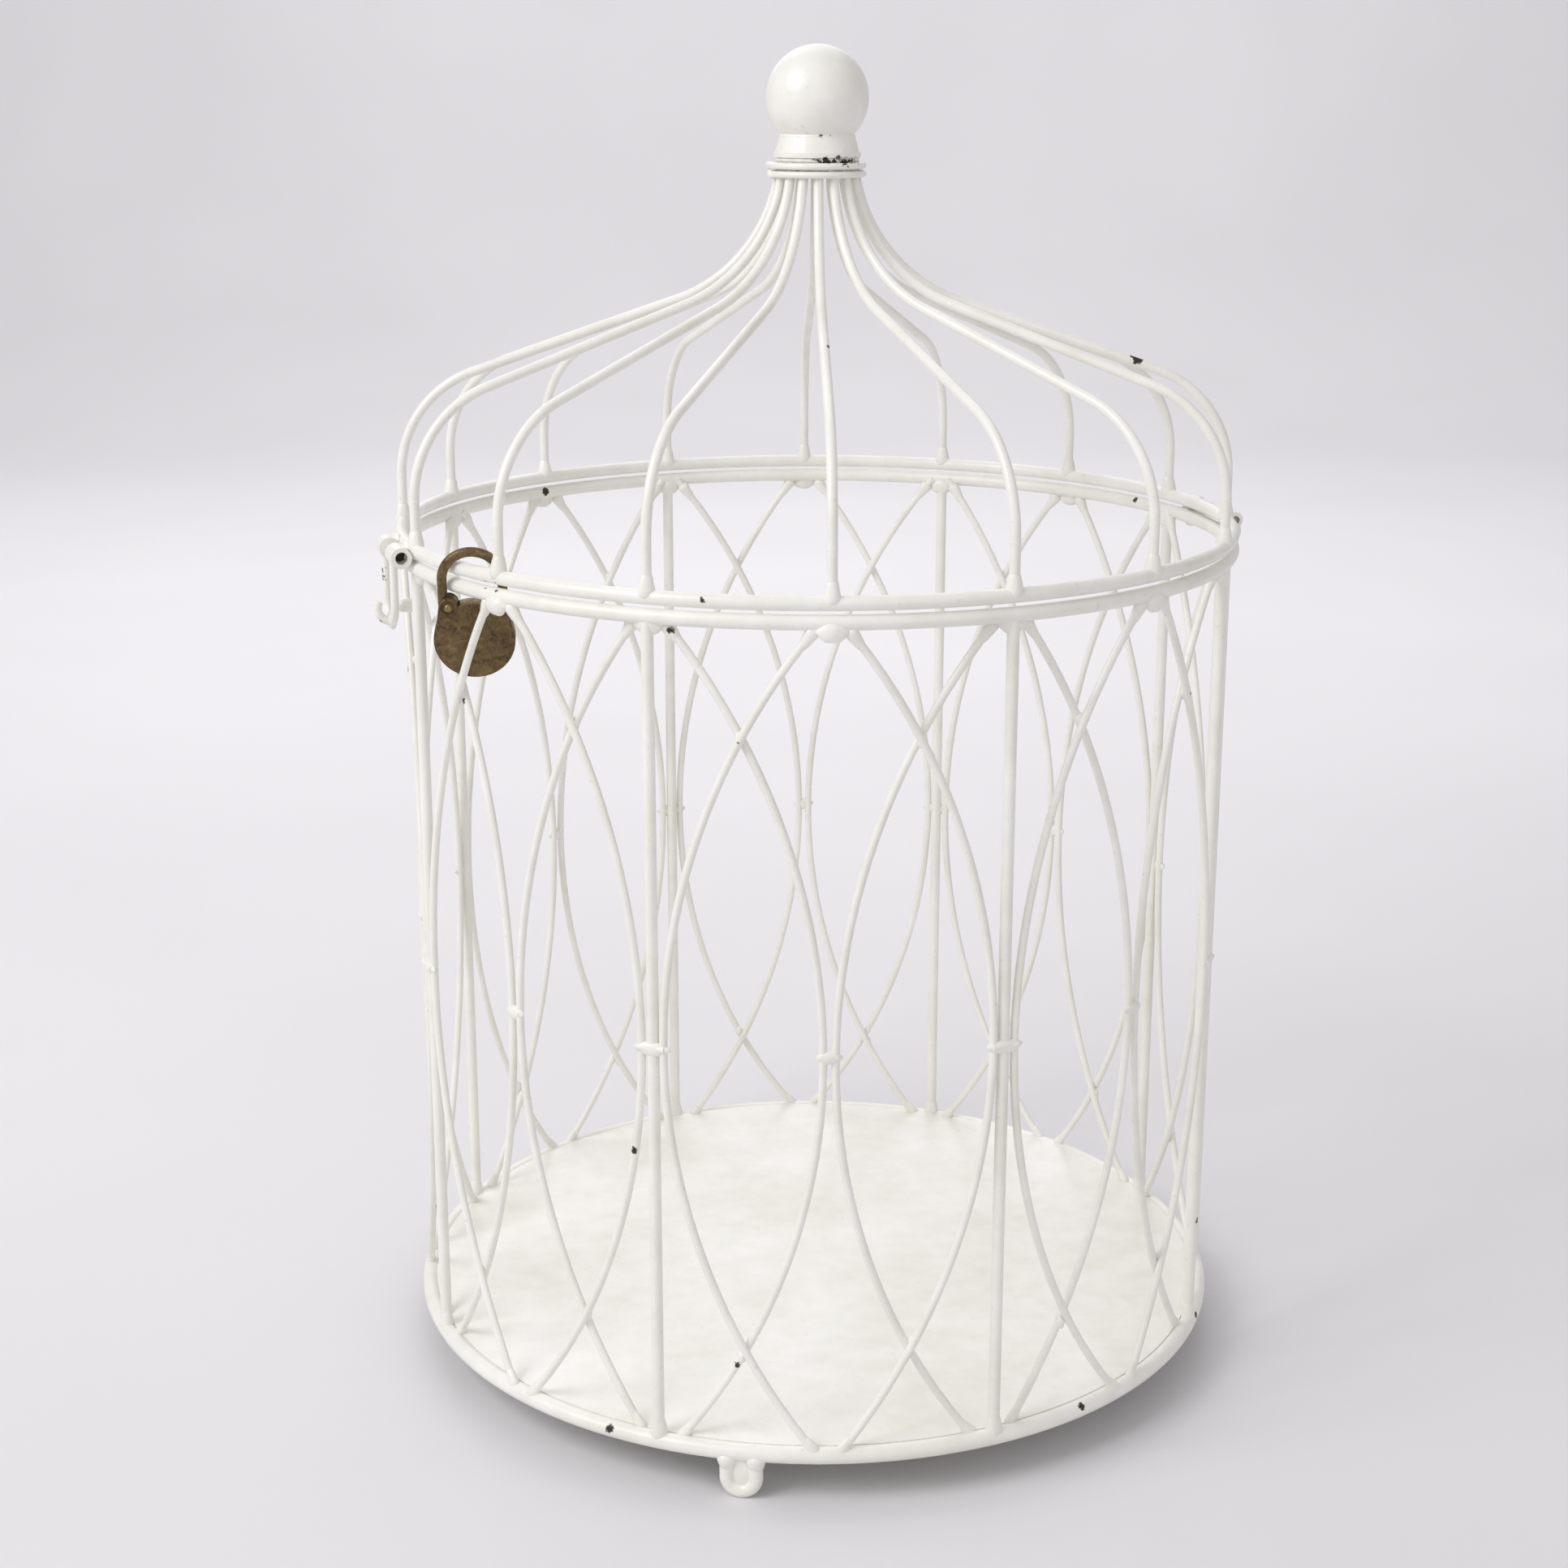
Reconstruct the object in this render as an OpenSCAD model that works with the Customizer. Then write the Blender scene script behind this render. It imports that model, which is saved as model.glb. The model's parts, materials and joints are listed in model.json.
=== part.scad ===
// Birdcage card box: a round wire cage with a floor plate and three wire feet,
// a hinged onion-dome lid with a ball finial, a hasp and a small padlock.
// Millimetres. Origin on the surface it stands on, under the cage's axis; +Z up.
// Angles go round from -Y (0) towards +X (90). The hinge is at +X, the latch near -X.

/* [Cage] */
// Diameter of the cage, to the wire centres
cage_d = 250; // [210:1:310]
// Height of the cage, from the base ring's centre to the body ring's
cage_h = 240; // [190:1:300]
// Wire of the body ring, at the cage's mouth
body_wire_d = 4.2; // [3.4:0.1:5]
// Wire of the upright posts
post_d = 3.4; // [2.6:0.1:4]
// Angle of the first lattice loop
first_loop_a = -11.25; // [-22.5:0.25:0]

/* [Lattice] */
// Wire of the lattice loops
lattice_wire_d = 2.3; // [1.8:0.1:2.8]
// Distance between the outer and the inner layer of loops, wire centre to wire centre
layer_step = 2.2; // [1.6:0.1:2.6]
// Half the gap between a loop's two ends at the body ring
apex_gap = 3; // [1.6:0.1:4]
// The same at the base ring, for a loop with no post
heel_gap = 2.8; // [1.6:0.1:4]
// The same at the base ring, for a loop with a post
post_heel_gap = 5.4; // [3.4:0.1:7]
// Half the gap between two neighbouring loops at mid height
waist_gap = 1.7; // [1.3:0.1:2.4]
// The same where a post stands between them
post_waist_gap = 3.3; // [3:0.1:4.4]
// Thickness of the tie bars at mid height
tie_d = 2.2; // [1.6:0.1:3]

/* [Base] */
// Wire of the base ring
base_wire_d = 5; // [4:0.1:6.5]
// Thickness of the floor plate
floor_t = 1.2; // [0.8:0.1:2]
// How far the floor plate's edge reaches into the base ring
floor_bite = 0.6; // [0.4:0.1:1]
// How far the floor plate lies below the top of the base ring
floor_drop = 0.4; // [0.2:0.1:0.8]
// Height of the feet under the base ring
foot_h = 11.5; // [8:0.5:20]
// Wire of the feet
foot_wire_d = 4.2; // [3:0.1:5]
// Width of a foot, to the wire centres
foot_w = 8.4; // [6:0.1:14]
// Angle of the first foot
first_foot_a = -22.5; // [-60:0.5:60]
// Depth of the flat that a foot stands on
foot_flat = 0.25; // [0.1:0.05:0.5]

/* [Lid] */
// Wire of the lid ring
lid_wire_d = 4; // [3.2:0.1:5]
// Gap between the body ring and the lid ring
ring_gap = 0.9; // [0.5:0.1:2]
// Wire of the dome
dome_wire_d = 2.9; // [2.2:0.1:3.4]
// Height of the dome wires' upright start
dome_rise = 14; // [6:0.5:30]
// Radius of the dome's shoulder
shoulder_r = 33; // [20:1:45]
// Slope of the dome's straight stretch
dome_slope = 19; // [10:0.5:30]
// Radius of the inward sweep up to the crown
sweep_r = 46; // [30:1:60]
// Slope of the dome wires where they reach the crown
crown_slope = 80; // [70:1:86]

/* [Crown] */
// Radius at which the dome wires reach the crown
crown_r = 11.4; // [10:0.1:15]
// Height of the wires' last stretch, under the binding
neck_h = 6; // [5:0.1:10]
// Wire of the binding
binding_wire_d = 1.9; // [1.4:0.1:2.4]
// Distance between the binding's two turns
binding_step = 2.4; // [2.2:0.1:3]
// Radius of the crown cap's rim
cap_rim_r = 12.8; // [12.4:0.1:16]
// Height of the crown cap's rim
cap_rim_h = 1.4; // [1:0.1:2]
// Height of the crown cap over its rim
cap_h = 4.8; // [3.4:0.1:8]
// Radius of the crown cap's top
cap_top_r = 11; // [9:0.1:12]
// Diameter of the ball finial
ball_d = 30; // [26:0.5:40]
// Diameter of the finial's screw
screw_d = 4; // [3:0.5:5]
// Length of the screw in the ball
screw_l = 12; // [8:0.5:16]

/* [Hinge] */
// Outer diameter of the lid's hinge tube
tube_d = 4.6; // [4.2:0.1:5]
// Length of the lid's hinge tube
tube_l = 24; // [16:1:32]
// Diameter of the hinge pin
pin_d = 2.4; // [2:0.1:2.6]
// How far the hinge's axis lies below the lid ring's centre
hinge_drop = 1.6; // [1.2:0.1:1.7]
// Outer diameter of the cage's hinge ears
ear_d = 5; // [4.4:0.1:5.2]
// Thickness of the cage's hinge ears
ear_t = 5; // [3:0.5:8]
// Diameter of the ears' lower lobe, on the body ring
lobe_d = 6.6; // [5:0.1:8]
// Free gap at each end of the hinge tube
tube_end_gap = 0.5; // [0.3:0.1:1]

/* [Latch] */
// Angle of the latch
latch_a = -83.5; // [-90:0.5:-80]
// Outer diameter of the latch barrels
barrel_d = 6; // [5:0.1:7]
// Length of the barrel at the open end
barrel_l = 10; // [6:0.5:14]
// Length of the barrel at the other end
barrel_far_l = 6; // [4:0.5:8]
// Free width between the two barrels, for the hasp's near leg
barrel_gap = 8; // [5:0.5:10]
// Wire of the hasp
hasp_wire_d = 2.4; // [2:0.1:2.8]
// Length of the hasp, from its pivot to its lower end
hasp_l = 22; // [18:0.5:30]
// Width of the hasp, to the wire centres
hasp_w = 12; // [11.5:0.5:14]
// Radius of the finger curl at the hasp's lower end
curl_r = 4; // [3:0.5:6]
// How far the latch's axis lies below the lid ring's centre
latch_drop = 1.4; // [0.8:0.1:1.8]
// Diameter of the latch knob on the cage
knob_d = 4; // [3:0.1:5]
// Distance from the latch's axis down to the knob
knob_drop = 17; // [15:0.5:18]
// Free gap between the hanging hasp's plane and the latch knob
knob_gap = 0.5; // [0.3:0.1:1]
// Diameter of the open barrel's mouth
mouth_d = 3.6; // [3.2:0.1:4]
// Depth of the open barrel's mouth
mouth_depth = 4; // [2:0.5:6]

/* [Padlock] */
// How far round the ring the padlock hangs, from the lattice wire beside the case's lower end
padlock_off = 5.32; // [3.6:0.02:6.8]
// How far the shackle's middle lies inside the rings' circle
padlock_in = 2.5; // [2:0.1:2.7]
// Turn of the padlock out of the ring's direction
padlock_turn = 54.7; // [52:0.1:57]
// Lean of the padlock, lower end inwards
padlock_lean = 14; // [12:0.5:15]
// Width of the padlock's case
case_w = 22.6; // [20:0.1:23]
// Thickness of the padlock's case
case_t = 4.2; // [3.8:0.1:4.6]
// Distance from the rivet down to the case's widest place
case_drop = 10.3; // [9:0.1:11]
// Height of the case's top edge over its widest place
case_top_h = 10.4; // [9.6:0.1:10.8]
// Distance from the rings' middle down to the rivet
rivet_drop = 8.2; // [8:0.1:9]
// Diameter of the rivet
rivet_d = 2.2; // [1.8:0.1:2.6]
// How far the rivet lies inside the shackle's fixed leg
rivet_inset = 1.5; // [1:0.1:1.8]
// Radius of the case's lug and of the shackle's eye, round the rivet
lug_r = 2.7; // [2.4:0.1:2.9]
// Distance between the shackle's legs, to the wire centres
shackle_w = 16.6; // [16.2:0.1:17.6]
// Length of the shackle's straight legs over the rivet
shackle_leg = 7.5; // [7.2:0.1:8.4]
// How far the shackle's free leg reaches below the rivet
shackle_tip = 4.4; // [3:0.1:5]
// Wire of the shackle
shackle_wire_d = 2.7; // [2.4:0.1:2.8]
// Thickness of the shackle's eye
eye_t = 2.1; // [1.6:0.1:2.2]

/* [Fits] */
// How deep welded wires bite into each other
weld = 0.3; // [0.2:0.05:0.4]
// Radial running clearance of the pins
run = 0.07; // [0.03:0.01:0.1]
// Free gap at each side of the shackle in the case's slots
slot_gap = 0.15; // [0.1:0.05:0.25]
// Free gap round the shackle's end in the case
tip_gap = 0.35; // [0.3:0.05:0.6]

/* [Hidden] */
$fn = 64;
// How far a cut runs past what it cuts
cut = 1;
bend_gap = 0.1;
bend_swell = 0.04;
loop_count = 16;
pitch = 360 / loop_count;
post_count = loop_count / 2;
foot_count = 3;

cage_r = cage_d / 2;
base_z = foot_h + base_wire_d / 2;
body_z = base_z + cage_h;
lid_z = body_z + body_wire_d / 2 + ring_gap + lid_wire_d / 2;
waist_z = (base_z + body_z) / 2;
// The feet end inside the base ring, under the lattice's wire ends
foot_top_z = base_z - lattice_wire_d / 2;
floor_top_z = base_z + base_wire_d / 2 - floor_drop;
floor_r = cage_r - base_wire_d / 2 + floor_bite;

// Radius of the outer (side 1) and the inner (side -1) layer of lattice loops
function layer_r(side) = cage_r + side * layer_step / 2;

// Dome profile, as points of [radius, height]
shoulder_c = [cage_r - shoulder_r, lid_z + dome_rise];
slope_start = shoulder_c + shoulder_r * [sin(dome_slope), cos(dome_slope)];
sweep_start_r = crown_r + sweep_r * (sin(crown_slope) - sin(dome_slope));
sweep_start = [sweep_start_r, slope_start.y + (slope_start.x - sweep_start_r) * tan(dome_slope)];
sweep_c = sweep_start + sweep_r * [sin(dome_slope), cos(dome_slope)];
crown_start = sweep_c - sweep_r * [sin(crown_slope), cos(crown_slope)];
crown_end = crown_start + neck_h * [-1 / tan(crown_slope), 1];

cap_z = crown_end.y - weld;
cap_top_z = cap_z + cap_rim_h + cap_h;
cap_step = 0.4;
ball_seat_r = cap_top_r - cap_step;
ball_z = cap_top_z + sqrt(pow(ball_d / 2, 2) - pow(ball_seat_r, 2));
plug_r = crown_end.x - dome_wire_d / 2 + weld;
binding_r = crown_start.x + dome_wire_d / 2 + binding_wire_d / 2 - weld;
screw_head_d = 2 * screw_d;
screw_head_h = 2;
screw_head_gap = 0.2;
pin_over = 0.5;

hinge_x = cage_r + sqrt(pow(lid_wire_d / 2 + tube_d / 2 - weld, 2) - pow(hinge_drop, 2));
hinge_z = lid_z - hinge_drop;
ear_y = tube_l / 2 + tube_end_gap + ear_t / 2;
ear_ring_x = sqrt(pow(cage_r, 2) - pow(ear_y, 2));

latch_out = sqrt(pow(lid_wire_d / 2 + barrel_d / 2 - weld, 2) - pow(latch_drop, 2));
latch_z = lid_z - latch_drop;
curl_sweep = 120;
knob_loop = 14;

padlock_z = (body_z + lid_z) / 2;
padlock_loop = 15;
rivet_x = rivet_inset - shackle_w / 2;
case_z = -rivet_drop - case_drop;
slot_t = shackle_wire_d + 2 * slot_gap;
rivet_over = 0.2;
// Where the case's straight sides leave its round, and its upper right corner
lug_side_a = 25;
free_side_a = 12;
case_shoulder = [1.1, 4.4];
case_corner = [0.4, 0.8];
case_top_in = 2;

function loop_angle(i) = first_loop_a + (i - 1) * pitch;
function has_post(i) = i % 2 == 0;

// Centre of the circle through three points of the plane
function circle_centre(a, b, c) =
    let (
        d = 2 * (a.x * (b.y - c.y) + b.x * (c.y - a.y) + c.x * (a.y - b.y)),
        aa = a * a,
        bb = b * b,
        cc = c * c
    )
    [
        (aa * (b.y - c.y) + bb * (c.y - a.y) + cc * (a.y - b.y)) / d,
        (aa * (c.x - b.x) + bb * (a.x - c.x) + cc * (b.x - a.x)) / d
    ];

// Places a shape on the cage's ring: X runs along the ring, -Y points outwards
module on_ring(a, r = cage_r) {
    rotate([0, 0, a]) translate([0, -r, 0]) children();
}

// Stands a drawing up: its X points outwards from the axis, its Y upwards
module upright(a) {
    rotate([0, 0, a - 90]) rotate([90, 0, 0]) children();
}

module wire_ring(r, z, d) {
    translate([0, 0, z]) rotate_extrude() translate([r, 0]) circle(d = d);
}

// Round wire in the XY plane, straight from p to q, a little short at both ends
module wire_line(p, q, d) {
    run_xy = q - p;
    translate([p.x, p.y, 0])
        rotate([0, 0, atan2(run_xy.y, run_xy.x)])
        rotate([0, 90, 0])
        translate([0, 0, bend_gap])
        cylinder(d = d, h = norm(run_xy) - 2 * bend_gap);
}

// Joint between a straight and a bent stretch of wire, a trace thicker than the wire
module wire_bend(p, d) {
    translate([p.x, p.y, 0]) sphere(d = d + 2 * bend_swell);
}

// Round wire in the XY plane, bent round c from angle a0 to a1
module wire_arc(c, r, a0, a1, d) {
    translate([c.x, c.y, 0])
        rotate([0, 0, a0])
        rotate_extrude(angle = a1 - a0)
        translate([r, 0])
        circle(d = d);
}

module tube_along_x(d, l, bore) {
    rotate([0, 90, 0])
    difference() {
        cylinder(d = d, h = l, center = true);
        cylinder(d = bore, h = l + 2 * cut, center = true);
    }
}

module base_ring() {
    color("ivory") wire_ring(cage_r, base_z, base_wire_d);
}

module floor_plate() {
    color("ivory")
        translate([0, 0, floor_top_z - floor_t])
        cylinder(r = floor_r, h = floor_t, $fn = 128);
}

// One wire foot, bent to a U, with a small flat underneath
module foot(a) {
    bend_r = foot_w / 2;
    bend_z = bend_r + foot_wire_d / 2 - foot_flat;
    on_ring(a)
    difference() {
        rotate([90, 0, 0]) {
            wire_arc([0, bend_z], bend_r, 180, 360, foot_wire_d);
            for (side = [-1, 1]) {
                wire_bend([side * bend_r, bend_z], foot_wire_d);
                wire_line([side * bend_r, bend_z], [side * bend_r, foot_top_z], foot_wire_d);
            }
        }
        translate([-foot_w, -foot_w, -foot_w]) cube([2 * foot_w, 2 * foot_w, foot_w]);
    }
}

module feet() {
    color("ivory")
    for (i = [0:foot_count - 1])
        foot(first_foot_a + i * 360 / foot_count);
}

module body_ring() {
    color("ivory") wire_ring(cage_r, body_z, body_wire_d);
}

module post(i) {
    color("ivory")
        on_ring(loop_angle(2 * i))
        translate([0, 0, base_z])
        cylinder(d = post_d, h = cage_h);
}

// Radius, heel and waist of a loop: one with a post lies in the inner layer
function loop_r(i) = layer_r(has_post(i) ? -1 : 1);
function loop_heel(i) = has_post(i) ? post_heel_gap : heel_gap;
function loop_waist(i) = has_post(i) ? waist_gap : post_waist_gap;

// Upper and lower end of a loop's half, and its centre, drawn in its own plane
function arc_top(i) = [apex_gap - loop_r(i) * sin(pitch / 2), body_z];
function arc_low(i) = [loop_heel(i) - loop_r(i) * sin(pitch / 2), base_z];
function arc_mid(i) = [loop_r(i) * sin(pitch / 2) - loop_waist(i), waist_z];
function arc_centre(i) = circle_centre(arc_top(i), arc_mid(i), arc_low(i));

// Stands a drawing of a loop's half up in the plane between two loop angles
module in_arc_plane(i) {
    rotate([0, 0, pitch / 2])
        translate([0, -loop_r(i) * cos(pitch / 2), 0])
        rotate([90, 0, 0])
        children();
}

// How far a loop's half lies from the middle of its plane, at height z
function arc_x(i, z) =
    let (c = arc_centre(i))
    c.x + sqrt(pow(norm(arc_top(i) - c), 2) - pow(z - c.y, 2));

// Angle at which the other half passes height z
function wire_angle(i, z) =
    loop_angle(i) - pitch / 2 - atan(arc_x(i, z) / (loop_r(i) * cos(pitch / 2)));

// Half of a lattice loop: a flat arc from the body ring down to the base ring
module lattice_arc(i) {
    c = arc_centre(i);
    low = arc_low(i) - c;
    top = arc_top(i) - c;
    in_arc_plane(i)
        wire_arc(c, norm(top), atan2(low.y, low.x), atan2(top.y, top.x), lattice_wire_d);
}

module lattice_loop(i) {
    color("ivory")
    rotate([0, 0, loop_angle(i)]) {
        lattice_arc(i);
        mirror([1, 0, 0]) lattice_arc(i);
    }
}

// Short bars that tie the lattice together at mid height
module waist_ties() {
    color("ivory")
    for (i = [1:loop_count]) {
        half_l = has_post(i) ? post_waist_gap + tie_d / 4 : waist_gap + tie_d / 4;
        on_ring(loop_angle(i), layer_r(has_post(i) ? 1 : -1))
            translate([-half_l, 0, waist_z])
            rotate([0, 90, 0])
            cylinder(d = tie_d, h = 2 * half_l);
    }
}

// Two ears welded to the outside of the body ring, with the pin's bores
module hinge_ears() {
    color("ivory")
    for (side = [-1, 1])
        translate([0, side * ear_y, 0])
        rotate([90, 0, 0])
        difference() {
            union() {
                translate([hinge_x, hinge_z, 0])
                    cylinder(d = ear_d, h = ear_t, center = true);
                translate([ear_ring_x + lobe_d / 2, body_z, 0])
                    cylinder(d = lobe_d, h = ear_t, center = true);
            }
            translate([hinge_x, hinge_z, 0])
                cylinder(d = pin_d, h = ear_t + 2 * cut, center = true);
        }
}

module hinge_pin() {
    color("silver")
        translate([hinge_x, 0, hinge_z])
        rotate([90, 0, 0])
        cylinder(d = pin_d, h = 2 * (ear_y + ear_t / 2 + pin_over), center = true);
}

module lid_ring() {
    color("ivory") wire_ring(cage_r, lid_z, lid_wire_d);
}

// One dome wire: upright start, shoulder, slope, inward sweep and neck
module dome_wire(i) {
    color("ivory")
    upright(loop_angle(i)) {
        for (p = [[cage_r, shoulder_c.y], slope_start, sweep_start, crown_start])
            wire_bend(p, dome_wire_d);
        wire_line([cage_r, lid_z], [cage_r, shoulder_c.y], dome_wire_d);
        wire_arc(shoulder_c, shoulder_r, 0, 90 - dome_slope, dome_wire_d);
        wire_line(slope_start, sweep_start, dome_wire_d);
        wire_arc(sweep_c, sweep_r, 270 - crown_slope, 270 - dome_slope, dome_wire_d);
        wire_line(crown_start, crown_end, dome_wire_d);
    }
}

// Cap that the dome wires are welded into, with a seat for the ball
module crown_cap() {
    color("ivory")
    difference() {
        union() {
            translate([0, 0, crown_start.y]) cylinder(r = plug_r, h = cap_z - crown_start.y + cap_rim_h);
            translate([0, 0, cap_z]) cylinder(r = cap_rim_r, h = cap_rim_h);
            translate([0, 0, cap_z + cap_rim_h])
                cylinder(r1 = cap_rim_r - cap_step, r2 = cap_top_r, h = cap_h);
        }
        translate([0, 0, ball_z]) sphere(d = ball_d);
        translate([0, 0, crown_start.y - cut]) cylinder(d = screw_d, h = ball_z);
        translate([0, 0, crown_start.y - cut]) cylinder(d = screw_head_d, h = cut + screw_head_h);
    }
}

module crown_binding() {
    color("ivory")
    for (turn = [0, 1])
        wire_ring(binding_r, crown_start.y + binding_wire_d / 2 + turn * binding_step, binding_wire_d);
}

module finial_ball() {
    color("ivory")
    difference() {
        translate([0, 0, ball_z]) sphere(d = ball_d);
        translate([0, 0, ball_z - ball_d / 2 - cut]) cylinder(d = screw_d, h = screw_l + cut);
    }
}

module finial_screw() {
    top_z = ball_z - ball_d / 2 + screw_l;
    color("silver") {
        translate([0, 0, crown_start.y])
            cylinder(d = screw_head_d - 2 * screw_head_gap, h = screw_head_h);
        translate([0, 0, crown_start.y]) cylinder(d = screw_d, h = top_z - crown_start.y);
    }
}

module hinge_tube() {
    color("ivory")
        translate([hinge_x, 0, hinge_z])
        rotate([0, 0, 90])
        tube_along_x(tube_d, tube_l, pin_d + 2 * run);
}

// Places a shape at the latch's axis: X runs along the axis, -Y points outwards
module at_latch() {
    on_ring(latch_a) translate([0, -latch_out, latch_z]) children();
}

// Two barrels welded to the outside of the lid ring; the near one's mouth stays open
module latch_barrels() {
    bore = hasp_wire_d + 2 * run;
    near_end = barrel_gap / 2 + barrel_l;
    color("ivory")
    at_latch()
    difference() {
        union() {
            translate([barrel_gap / 2 + barrel_l / 2, 0, 0]) tube_along_x(barrel_d, barrel_l, bore);
            translate([-barrel_gap / 2 - barrel_far_l / 2, 0, 0])
                tube_along_x(barrel_d, barrel_far_l, bore);
        }
        translate([near_end - mouth_depth, 0, 0])
            rotate([0, 90, 0])
            cylinder(d = mouth_d, h = mouth_depth + cut);
    }
}

// Hasp, bent from one wire: a pin through the barrels, a long loop and a finger curl
module hasp() {
    pin_end = barrel_gap / 2 + barrel_l - mouth_depth;
    leg_l = hasp_l - hasp_w / 2;
    color("ivory")
    at_latch() {
        rotate([90, 0, 0]) {
            wire_line([-hasp_w, 0], [pin_end, 0], hasp_wire_d);
            wire_line([0, 0], [0, -leg_l], hasp_wire_d);
            wire_line([-hasp_w, 0], [-hasp_w, -leg_l], hasp_wire_d);
            wire_bend([0, -leg_l], hasp_wire_d);
            wire_bend([-hasp_w, -leg_l], hasp_wire_d);
            wire_arc([-hasp_w / 2, -leg_l], hasp_w / 2, 180, 360, hasp_wire_d);
        }
        translate([-hasp_w, 0, 0]) sphere(d = 2 * hasp_wire_d);
        translate([-hasp_w / 2, 0, 0])
            rotate([0, 0, -90])
            rotate([90, 0, 0])
            wire_arc([0, curl_r - hasp_l], curl_r, 270, 270 + curl_sweep, hasp_wire_d);
    }
}

// Knob on the lattice that the hasp hangs over
module latch_knob() {
    z = latch_z - knob_drop;
    tip_r = cage_r + latch_out - hasp_wire_d / 2 - knob_gap;
    knob_l = tip_r - loop_r(knob_loop) * cos(pitch / 2) - knob_d / 2;
    color("ivory")
    rotate([0, 0, loop_angle(knob_loop)])
        mirror([1, 0, 0])
        in_arc_plane(knob_loop)
        translate([arc_x(knob_loop, z), z, 0]) {
            cylinder(d = knob_d, h = knob_l);
            translate([0, 0, knob_l]) sphere(d = knob_d);
        }
}

// Places the padlock as a drawing: X towards the free leg, Y up, Z out of its front
module at_padlock() {
    case_low_z = padlock_z + case_z - case_w / 2;
    rotate([0, 0, wire_angle(padlock_loop, case_low_z) + padlock_off / cage_r * 180 / PI])
        translate([0, padlock_in - cage_r, padlock_z])
        rotate([0, 0, padlock_turn])
        rotate([padlock_lean + 90, 0, 0])
        children();
}

// Outline of the case, round below, with a lug for the rivet at its upper left
module case_outline() {
    r = case_w / 2;
    top_y = case_z + case_top_h;
    translate([0, case_z]) circle(r = r);
    translate([rivet_x, -rivet_drop]) circle(r = lug_r);
    polygon([
        [rivet_x - lug_r, -rivet_drop],
        [-r * cos(lug_side_a), case_z + r * sin(lug_side_a)],
        [r * cos(free_side_a), case_z + r * sin(free_side_a)],
        [r - case_shoulder.x, top_y - case_shoulder.y],
        [shackle_w / 2 - case_corner.x, top_y - case_corner.y],
        [shackle_w / 2 - case_top_in, top_y],
        [rivet_x, top_y]
    ]);
}

module padlock_case() {
    tip_x = shackle_w / 2 - shackle_wire_d / 2 - tip_gap;
    color("darkkhaki")
    at_padlock()
    difference() {
        linear_extrude(case_t, center = true) case_outline();
        // Slot for the shackle's eye and its fixed leg
        linear_extrude(slot_t, center = true) {
            translate([rivet_x, -rivet_drop]) circle(r = lug_r + tip_gap);
            translate([rivet_x - 2 * lug_r, -rivet_drop - lug_r - tip_gap])
                square([2 * lug_r, 4 * lug_r]);
        }
        // Notch for the shackle's free leg
        linear_extrude(slot_t, center = true)
            translate([tip_x, -rivet_drop - shackle_tip - tip_gap])
            square([case_w, case_w]);
        translate([rivet_x, -rivet_drop, -case_t]) cylinder(d = rivet_d, h = 2 * case_t);
    }
}

module padlock_rivet() {
    color("tan")
    at_padlock()
    translate([rivet_x, -rivet_drop, 0]) {
        cylinder(d = rivet_d, h = case_t + 2 * rivet_over, center = true);
        for (side = [-1, 1])
            translate([0, 0, side * (case_t / 2 + rivet_over)]) sphere(d = rivet_d + rivet_over);
    }
}

module padlock_shackle() {
    half = shackle_w / 2;
    arch_y = shackle_leg - rivet_drop;
    color("darkkhaki")
    at_padlock()
    difference() {
        union() {
            wire_line([-half, -rivet_drop], [-half, arch_y], shackle_wire_d);
            wire_arc([0, arch_y], half, 0, 180, shackle_wire_d);
            wire_line([half, arch_y], [half, -rivet_drop - shackle_tip], shackle_wire_d);
            wire_bend([-half, arch_y], shackle_wire_d);
            wire_bend([half, arch_y], shackle_wire_d);
            translate([rivet_x, -rivet_drop, 0])
                cylinder(r = lug_r, h = eye_t, center = true);
        }
        translate([rivet_x, -rivet_drop, 0])
            cylinder(d = rivet_d + 2 * run, h = 2 * shackle_wire_d, center = true);
    }
}

base_ring();
floor_plate();
feet();
body_ring();
waist_ties();
for (i = [1:post_count])
    post(i);
for (i = [1:loop_count])
    lattice_loop(i);
hinge_ears();
hinge_pin();
latch_knob();
lid_ring();
for (i = [1:loop_count])
    dome_wire(i);
crown_cap();
crown_binding();
finial_ball();
finial_screw();
hinge_tube();
latch_barrels();
hasp();
padlock_case();
padlock_rivet();
padlock_shackle();
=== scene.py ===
import bpy, json, math
from mathutils import Matrix, Vector


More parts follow.
